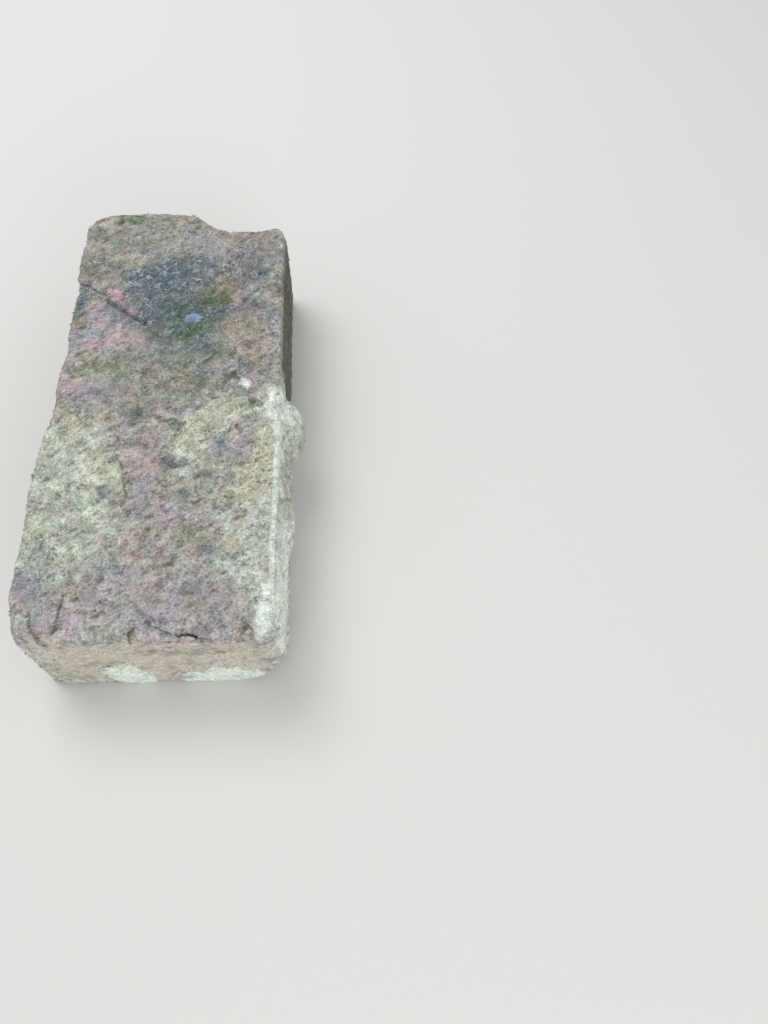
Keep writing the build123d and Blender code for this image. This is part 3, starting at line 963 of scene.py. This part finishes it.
class ClayPaint(Paint):
    """The noises, films and crusts that the parts of the brick's finish share."""

    def __init__(self, colours):
        super().__init__("weathered_clay")
        self.shade = {name: tuple(getattr(colours, name)) for name in BrickColours.__annotations__}
        streak = self.mapping(self.place, "Rotation", (0, 0, -STREAK_TURN))
        streak = self.mapping(streak, "Scale", (1 / STREAK_STRETCH, 1.0, 1.0))
        self.speck = self.noise(0.55 * MM, 1.0, 0.31)
        self.fine = self.noise(1.1 * MM, 2.0, 0.13)
        self.medium = self.noise(2.4 * MM, 2.0, place=streak)
        self.blotch = self.noise(3.4 * MM, 2.0, 0.71)
        self.patchy = self.noise(4.6 * MM, 3.0, 0.57)
        self.flake = self.noise(5.2 * MM, 1.5, 1.47)
        self.hue = self.noise(8.5 * MM, 1.5, 2.11)
        self.coarse = self.noise(13 * MM, 2.0, 0.83)

        self.pale = self.film("pale")
        self.grime = self.film("grime", 0.10, 1.0, 1.5)
        self.algae = self.film("algae", 0.10, 1.05, 1.5)
        self.moss = self.film("moss", 0.08, 1.0)
        spread = (self.patchy - 0.5) * 0.50 + (self.blotch - 0.5) * 0.30 + (self.fine - 0.5) * 0.06
        wet = self.attribute("algae").greatest(self.attribute("moss"))
        wet = self.ramp(wet + (self.fine - 0.5) * 0.2, 0.55, 0.85)
        bare = self.ramp(self.attribute("bare") + spread * 0.4, 0.25, 0.75)
        lichen = self.ramp(self.attribute("lichen") + spread, 0.20, 0.62)
        self.lichen = lichen * (1.0 - wet.greatest(bare) * 0.85)
        self.mortar = self.ramp(self.attribute("mortar") + spread, 0.15, 0.80)
        self.worn = self.ramp(self.attribute("mortar") + spread * 1.4, 0.45, 1.15)

    def film(self, name, low=0.15, high=0.95, spread=1.0):
        """How thickly a soft film lies, thinned and thickened by noise of all sizes."""
        uneven = (self.patchy - 0.5) * 0.40 + (self.medium - 0.5) * 0.28 + (self.fine - 0.5) * 0.12
        return self.ramp(self.attribute(name) + uneven * spread, low, high)

    def lay(self, base, name, factor):
        """A colour with one of the brick's named colours laid over it by a factor."""
        return self.mix(factor, base, self.shade[name])

    def clay_colour(self):
        """The clay, from red to green, with the soot, algae and moss that lie thinly on it, dark olive
        painted shade, and light ridges in dark places that are worn tips and partly a painted sheen.
        """
        greener = self.patchy * 0.2 + self.hue * 0.2 + self.coarse * 0.35 + 0.125
        base = self.lay(self.shade["clay_red"], "clay_green", greener)
        base = self.lay(base, "clay_brown", self.ramp(self.blotch + (self.coarse - 0.5) * 0.4, 0.35, 1.0))
        base = self.lay(base, "clay_green", self.ramp(self.noise(38 * MM, 3.0, 1.13), 0.35, 0.85, 0.0, 0.4))
        base = self.lay(base, "grime", self.grime * 0.8)
        base = self.lay(base, "pale", self.pale * 0.9)
        # The olive layer laid here is painted shade
        for name, strength in (("mauve", 0.75), ("ochre", 0.7), ("fresh", 0.75), ("olive_shade", 0.95)):
            base = self.lay(base, name, self.film(name) * strength)
        base = self.lay(base, "algae", self.algae * 0.9)
        tips = self.ramp(self.patchy * 0.4 + self.blotch * 0.4 + self.fine * 0.2, 0.20, 0.95)
        tips = tips.greatest(self.ramp(self.attribute("moss"), 1.0, 1.15))
        moss = self.lay(self.shade["moss_dark"], "moss_light", tips)
        base = self.mix(self.moss * 0.75, base, moss)
        # Light ridges where algae or grime lie: worn tips of the clay, and partly a painted sheen
        ridge_and_sheen = self.ramp(self.medium * 0.55 + self.fine * 0.45, 0.45, 0.85)
        ridge_and_sheen = ridge_and_sheen * self.algae.greatest(self.grime) * (1.0 - self.moss * 0.8)
        base = self.lay(base, "ridge_and_sheen", ridge_and_sheen * self.ramp(self.patchy, 0.1, 0.8, 0.25, 0.75))
        broken = self.ramp(self.attribute("fresh") + (self.patchy - 0.5) * 0.3, 0.80, 1.15)
        return self.lay(base, "fresh", broken * 0.55)

    def lichen_colour(self):
        """Lichen from grey to yellow, with green, pale and tan flakes and dark pits between them."""
        tone = self.lay(self.shade["lichen_grey"], "lichen_yellow", self.film("yellow", 0.2, 1.3))
        for name, noise, low, high, strength in (
            ("lichen_green", self.noise(7.5 * MM, 3.0, 1.83), 0.45, 0.90, 0.65),
            ("lichen_pale", self.flake, 0.45, 0.95, 0.75),
            ("lichen_tan", self.flake, 0.48, 0.10, 0.65),
            ("lichen_pit", self.medium * 0.5 + self.fine * 0.5, 0.34, 0.12, 0.8),
        ):
            tone = self.lay(tone, name, self.ramp(noise, low, high, 0.0, strength))
        return tone

    def mortar_colour(self):
        """Old mortar: pale where it is thick, and elsewhere dirty, with tan flakes."""
        tone = self.lay(self.shade["mortar_shade"], "mortar", self.worn)
        flakes = self.ramp(self.flake, 0.50, 0.10, 0.0, 0.55) * (1.0 - self.worn * 0.7)
        return self.lay(tone, "lichen_tan", flakes)

    def tinted(self, base):
        """A colour with slight shifts of hue, where no crust or pale film hides the clay."""
        tint = 1.0 - self.pale.greatest(self.mortar).greatest(self.lichen * 0.7) * 0.7
        red_or_green = self.mix(self.hue, (1.065, 0.967, 0.985), (0.94, 1.028, 1.0))
        blue_or_yellow = self.mix(self.noise(11 * MM, 1.5, 0.41), (0.955, 0.987, 1.10), (1.045, 1.022, 0.90))
        for shift in (red_or_green, blue_or_yellow):
            base = self.mix(tint, base, shift, "MULTIPLY")
        return base

    def tone_and_painted_shade(self, wander, bed):
        """Painted light and shade of the grain's relief, painted shade in the hollows, at the foot of the lip
        and in the narrow marks, and the specks' and each stone's own tone, as one factor.
        """
        calm = self.pale.greatest(self.mortar).greatest(self.lichen * 0.5).greatest(self.film("mauve") * 0.6)
        calm = 1.0 - calm * 0.6
        light = 1.0 + (self.speck - 0.5) * 0.40
        # Painted light and shade of the relief: lighter on the grain's rises and darker in its dips, calmer
        # under crusts and pale films
        for grain, strength in ((self.fine, 0.72), (self.medium, 0.80)):
            light = light * (1.0 + (grain - 0.5) * calm * strength)
        # Painted shade in the hollows and at the foot of the lip, and each stone's own tone
        for name, *step in (
            ("hollow", 0.45, 1.0, 1.04, 0.66),
            ("lip_foot", 0.1, 1.0, 1.0, 0.80),
            ("tone", 0.0, 1.0, 0.5, 1.5, "LINEAR"),
        ):
            light = light * self.ramp(self.attribute(name), *step)
        # Painted shade along the narrow marks
        for course, half, _, dark in MARKS:
            light = light * (1.0 - self.course(course, half, wander) * bed * dark)
        return light


def brick_material(colours):
    """Fired clay with all that has set and grown on it, and painted light and shade, from the covers stored
    on the mesh.
    """
    paint = ClayPaint(colours)
    wander = (paint.fine - 0.5) * (0.35 * MM)
    bed = paint.ramp(paint.place.dot((0.0, 0.0, 1.0)), UPPER - SHADE_END, UPPER - MARKS_WHOLE)
    bed = bed * paint.ramp(paint.patchy, 0.05, 0.45, 0.45, 1.0)
    lime = paint.course(*LIME_RIDGE, wander * 2.0) * bed

    base = paint.clay_colour()
    base = paint.mix(paint.lichen * 0.88, base, paint.lichen_colour())
    base = paint.mix(paint.mortar * 0.92, base, paint.mortar_colour())
    base = paint.lay(base, "stain", paint.film("stain", 0.35, 0.85) * 0.8)
    base = paint.lay(base, "mortar", lime * 0.8)
    # The colour times its tone and its painted light and shade
    colour = paint.mix(1.0, paint.tinted(base), paint.tone_and_painted_shade(wander, bed), "MULTIPLY")
    # Pale sand grains that are partly painted glints, most of all on crusts and mortar
    sparkle = paint.ramp(paint.cells(SPARKLE_SPACING), 0.15, 0.26, 1.0, 0.0)
    sparkle = sparkle * paint.ramp(paint.patchy, 0.30, 0.70)
    colour = paint.lay(colour, "sand_and_glint", sparkle * (0.28 + 0.70 * paint.lichen.greatest(paint.mortar)))

    roughness = CLAY_ROUGHNESS - paint.algae * 0.15 - sparkle * 0.2
    pores = paint.ramp(paint.cells(PORE_SPACING), 0.10, 0.30)
    height = paint.patchy * 0.60 + paint.medium * 0.90 + paint.fine * 0.50 + paint.speck * 0.14 + pores * 0.10
    height = height + paint.lichen * 0.25 + paint.mortar * 0.20
    return paint.finish(colour, roughness, height, BUMP_REACH)


def colour(name, purpose, default):
    """A colour that a user can change, as its written numbers."""
    return FloatVectorProperty(
        name=name, description=purpose, default=default, subtype="COLOR", min=0.0, max=1.0,
    )


class BrickShape(PropertyGroup):
    """Sizes of the modelled surface, and how many stones lie on it"""

    plan_spacing: FloatProperty(
        name="Plan spacing", description="Distance between points of the surface along the beds",
        default=0.87 * MM, min=0.5 * MM, unit="LENGTH", precision=5,
    )
    height_spacing: FloatProperty(
        name="Height spacing", description="Distance between points of the surface up the sides",
        default=1.25 * MM, min=0.5 * MM, unit="LENGTH", precision=5,
    )
    sand_count: IntProperty(
        name="Sand grains", description="Sand grains fired into the clay", default=7500, min=1,
    )
    crumb_count: IntProperty(
        name="Crumbs", description="Crumbs of mortar and lichen", default=7500, min=1,
    )
    moss_count: IntProperty(name="Moss grains", description="Grains of moss", default=2500, min=1)


class BrickColours(PropertyGroup):
    """Colours of the clay and of what has set and grown on it, and of painted shade, sheen and glints"""

    clay_red: colour("Red clay", "Worn clay", (0.555, 0.455, 0.46))
    clay_green: colour("Green clay", "Clay under a thin growth", (0.395, 0.45, 0.39))
    clay_brown: colour("Brown clay", "Dirty clay", (0.27, 0.252, 0.245))
    grime: colour("Grime", "Soot and damp", (0.14, 0.155, 0.165))
    # Worn tips of the clay, and partly a painted sheen in dark places
    ridge_and_sheen: colour("Rubbed ridges", "Worn tips of the clay in dark places", (0.46, 0.45, 0.43))
    pale: colour("Pale clay", "Clay of the end face", (0.68, 0.63, 0.54))
    mauve: colour("Mauve clay", "Hard-fired clay", (0.47, 0.44, 0.468))
    ochre: colour("Ochre", "Rusty clay", (0.34, 0.285, 0.19))
    fresh: colour("Fresh clay", "Newly broken clay", (0.64, 0.40, 0.51))
    # Painted shade of the far and right sides, in dark olive
    olive_shade: colour("Olive film", "Shaded side", (0.115, 0.125, 0.085))
    algae: colour("Algae", "Dark algae", (0.10, 0.15, 0.198))
    moss_dark: colour("Dark moss", "Hollows of the moss", (0.06, 0.11, 0.06))
    moss_light: colour("Light moss", "Tips of the moss", (0.22, 0.31, 0.175))
    lichen_grey: colour("Grey lichen", "Crust", (0.525, 0.58, 0.51))
    lichen_yellow: colour("Yellow lichen", "Crust", (0.62, 0.605, 0.42))
    lichen_pale: colour("Pale lichen", "Tips of the crust", (0.72, 0.76, 0.68))
    lichen_green: colour("Green lichen", "Fresh crust", (0.47, 0.56, 0.42))
    lichen_tan: colour("Tan lichen", "Dry crust", (0.52, 0.475, 0.40))
    lichen_pit: colour("Lichen pits", "Between crusts", (0.31, 0.32, 0.285))
    mortar: colour("Mortar", "Old lime mortar", (0.89, 0.97, 0.89))
    mortar_shade: colour("Mortar shade", "Dirty mortar", (0.57, 0.60, 0.545))
    stain: colour("Blue stain", "Bluish bloom", (0.29, 0.40, 0.60))
    # Pale sand grains, and partly painted glints
    sand_and_glint: colour("Sand", "Pale grains", (0.87, 0.90, 0.88))


class StudioSettings(PropertyGroup):
    """Floor, light and camera"""

    floor_colour: colour("Floor", "Floor colour", (0.78, 0.775, 0.76))
    world_strength: FloatProperty(
        name="World strength", description="Light from all round", default=0.55, min=0.0,
    )
    key_power: FloatProperty(
        name="Key power", description="Main lamp", default=6.9, min=0.0, unit="POWER",
    )
    fill_power: FloatProperty(
        name="Fill power", description="Lamp for the near face", default=3.6, min=0.0, unit="POWER",
    )
    focal_length: FloatProperty(
        name="Focal length", description="Camera lens in millimetres", default=27.07, min=1.0,
    )


def claim(made, material):
    """Gives a finished piece its material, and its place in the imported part."""
    made.data.materials.append(material)
    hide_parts("brick")
    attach(made, "root")


class BRICK_OT_body(Operator):
    """Makes the brick's weathered surface in place of its plain solid"""

    bl_idname = "brick.body"
    bl_label = "Brick Body"

    def execute(self, context):
        shape = context.scene.brick_shape
        shell = Shell(shape.plan_spacing, shape.height_spacing)
        body = make_object(BODY_NAME, shell.points, shell.quads)
        unwrap(body.data, shell.places, shell.quads, shell.charts, shell.stretch)
        set_attributes(body.data, shell.covers)
        claim(body, brick_material(context.scene.brick_colours))
        return {"FINISHED"}


class BRICK_OT_grains(Operator):
    """Strews sand, crumbs of crust and grains of moss over the finished brick body"""

    bl_idname = "brick.grains"
    bl_label = "Brick Grains"

    def execute(self, context):
        body = context.scene.objects.get(BODY_NAME)
        if body is None:
            raise RuntimeError("The grains lie on the brick body, which has to be made first")
        shape = context.scene.brick_shape
        surface = Surface(body.data)
        covers = surface.covers
        crusts = np.maximum(covers["mortar"], covers["lichen"] * 0.6)
        crusts = crusts * (1.0 - 0.85 * smooth(0.5, 0.9, surface.normals[:, 0]))
        # Each kind's name, the weight of every place for it, its count, its least and
        # greatest size in millimetres, how far it sinks in, and its darkest and lightest tone
        kinds = (
            ("sand_grains", 0.4 + covers["mauve"], shape.sand_count, (0.16, 0.42), 0.15, (0.35, 0.85)),
            ("crust_crumbs", crusts ** 2 + 0.002, shape.crumb_count, (0.25, 0.75), 0.2, (0.40, 0.75)),
            ("moss_grains", covers["moss"] ** 2 + 1e-4, shape.moss_count, (0.2, 0.5), 0.1, (0.3, 0.7)),
        )
        for name, weights, count, radii, sink, tones in kinds:
            radii = [radius * MM for radius in radii]
            points, faces, spots = scatter(surface, weights, count, radii, sink, tones, SEEDS[name])
            stones = make_object(name, points, faces)
            set_attributes(stones.data, spots)
            claim(stones, body.data.materials[0])
        return {"FINISHED"}


class BRICK_OT_studio(Operator):
    """Makes the floor, the lamps, the world and the camera"""

    bl_idname = "brick.studio"
    bl_label = "Studio"

    def execute(self, context):
        studio = context.scene.brick_studio
        side = np.linspace(-FLOOR_HALF, FLOOR_HALF, FLOOR_LINES)
        across, along = np.meshgrid(side, side, indexing="ij")
        points = np.column_stack([across.ravel(), along.ravel(), np.full(across.size, LOWER - FLOOR_GAP)])
        sheet = np.arange(across.size).reshape(across.shape)
        floor = make_object("floor", points, sheet_quads(sheet))
        paint = Paint("floor_paint")
        inputs = {"Base Color": (*studio.floor_colour, 1.0), "Roughness": 0.9}
        paint.output(paint.node("ShaderNodeBsdfPrincipled", {}, inputs))
        floor.data.materials.append(paint.material)
        floor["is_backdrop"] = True

        self.lamp("key", KEY_PLACE, KEY_SIZE, studio.key_power)
        self.lamp("fill", FILL_PLACE, FILL_SIZE, studio.fill_power)
        world = bpy.data.worlds.new("studio_world")
        world.use_nodes = True
        background = world.node_tree.nodes["Background"]
        background.inputs["Color"].default_value = (1.0, 1.0, 1.0, 1.0)
        background.inputs["Strength"].default_value = studio.world_strength
        context.scene.world = world

        lens = bpy.data.cameras.new("camera")
        lens.lens = studio.focal_length
        lens.sensor_width = SENSOR_WIDTH
        lens.clip_start = 0.01
        camera = bpy.data.objects.new("camera", lens)
        camera.location = CAMERA_PLACE
        camera.rotation_euler = Euler([math.radians(turn) for turn in CAMERA_TURN])
        context.scene.collection.objects.link(camera)
        context.scene.camera = camera
        context.scene.view_settings.view_transform = "Standard"
        return {"FINISHED"}

    def lamp(self, name, place, size, power):
        """A square soft lamp that points at the brick."""
        light = bpy.data.lights.new(name, "AREA")
        light.size = size
        light.energy = power
        lamp = bpy.data.objects.new(name, light)
        lamp.location = place
        lamp.rotation_euler = Vector(place).to_track_quat("Z", "Y").to_euler()
        bpy.context.scene.collection.objects.link(lamp)


class BRICK_PT_panel(Panel):
    """Lists the brick's settings, and the operators that build it"""

    bl_label = "Reclaimed Brick"
    bl_idname = "BRICK_PT_panel"
    bl_space_type = "VIEW_3D"
    bl_region_type = "UI"
    bl_category = "Brick"

    def draw(self, context):
        layout = self.layout
        for group in (context.scene.brick_shape, context.scene.brick_colours, context.scene.brick_studio):
            for name in group.__annotations__:
                layout.prop(group, name)
        for operator in OPERATORS:
            layout.operator(operator.bl_idname)


GROUPS = {"brick_shape": BrickShape, "brick_colours": BrickColours, "brick_studio": StudioSettings}
OPERATORS = (BRICK_OT_body, BRICK_OT_grains, BRICK_OT_studio)


def register():
    for name, group in GROUPS.items():
        bpy.utils.register_class(group)
        setattr(bpy.types.Scene, name, PointerProperty(type=group))
    for kind in (*OPERATORS, BRICK_PT_panel):
        bpy.utils.register_class(kind)


def unregister():
    for kind in (BRICK_PT_panel, *reversed(OPERATORS)):
        bpy.utils.unregister_class(kind)
    for name, group in reversed(GROUPS.items()):
        delattr(bpy.types.Scene, name)
        bpy.utils.unregister_class(group)


def main():
    """Builds the brick and its studio."""
    register()
    bpy.ops.brick.body()
    bpy.ops.brick.grains()
    bpy.ops.brick.studio()


if __name__ == "__main__":
    main()
